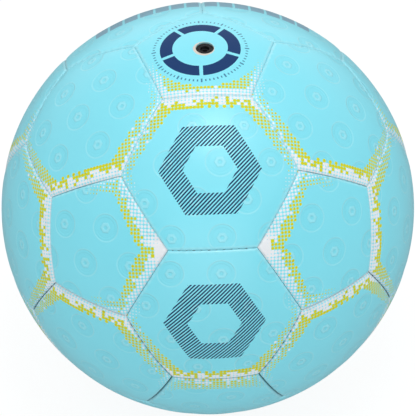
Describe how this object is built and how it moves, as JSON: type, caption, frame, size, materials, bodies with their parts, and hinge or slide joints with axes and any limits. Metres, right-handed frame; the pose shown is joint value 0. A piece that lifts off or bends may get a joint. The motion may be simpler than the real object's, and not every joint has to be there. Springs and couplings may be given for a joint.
{
  "type": "handball",
  "caption": "Inflatable stitched handball with a panelled soft-grip cover, padding, bladder and needle valve.",
  "frame": {"origin": "the ball's centre", "axes": "+Z points out through the valve, and -Y points out of the hexagon panel that faces the viewer"},
  "size_m": [0.175, 0.175, 0.1749],
  "materials": {
    "cover": "satin synthetic leather",
    "foam": "closed-cell foam",
    "lining": "woven cloth",
    "thread": "waxed thread",
    "bladder": "matt rubber",
    "patch": "matt rubber",
    "valve_rubber": "satin rubber",
    "core_rubber": "soft rubber"
  },
  "bodies": {
    "root": {"cover_pentagon_valve": "cover", "cover_hexagon_top_1": "cover", "cover_hexagon_top_2": "cover", "cover_hexagon_top_3": "cover", "cover_hexagon_top_4": "cover", "cover_hexagon_top_5": "cover", "cover_pentagon_upper_1": "cover", "cover_pentagon_upper_2": "cover", "cover_pentagon_upper_3": "cover", "cover_pentagon_upper_4": "cover", "cover_pentagon_upper_5": "cover", "cover_hexagon_upper_1": "cover", "cover_hexagon_upper_2": "cover", "cover_hexagon_upper_3": "cover", "cover_hexagon_upper_4": "cover", "cover_hexagon_upper_5": "cover", "cover_hexagon_lower_1": "cover", "cover_hexagon_lower_2": "cover", "cover_hexagon_lower_3": "cover", "cover_hexagon_lower_4": "cover", "cover_hexagon_lower_5": "cover", "cover_pentagon_lower_1": "cover", "cover_pentagon_lower_2": "cover", "cover_pentagon_lower_3": "cover", "cover_pentagon_lower_4": "cover", "cover_pentagon_lower_5": "cover", "cover_hexagon_base_1": "cover", "cover_hexagon_base_2": "cover", "cover_hexagon_base_3": "cover", "cover_hexagon_base_4": "cover", "cover_hexagon_base_5": "cover", "cover_pentagon_base": "cover", "foam_pentagon_valve": "foam", "foam_hexagon_top": "foam", "foam_pentagon_upper": "foam", "foam_hexagon_upper": "foam", "foam_hexagon_lower": "foam", "foam_pentagon_lower": "foam", "foam_hexagon_base": "foam", "foam_pentagon_base": "foam", "lining_pentagon_valve": "lining", "lining_hexagon_top": "lining", "lining_pentagon_upper": "lining", "lining_hexagon_upper": "lining", "lining_hexagon_lower": "lining", "lining_pentagon_lower": "lining", "lining_hexagon_base": "lining", "lining_pentagon_base": "lining", "seam_valve_panel": "thread", "seam_top_hexagons": "thread", "seam_upper_pentagons": "thread", "seam_equator": "thread", "seam_lower_pentagons": "thread", "seam_base_hexagons": "thread", "seam_base_panel": "thread", "bladder": "bladder", "valve_patch": "patch", "valve_body": "valve_rubber", "valve_core": "core_rubber"}
  },
  "joints": []
}
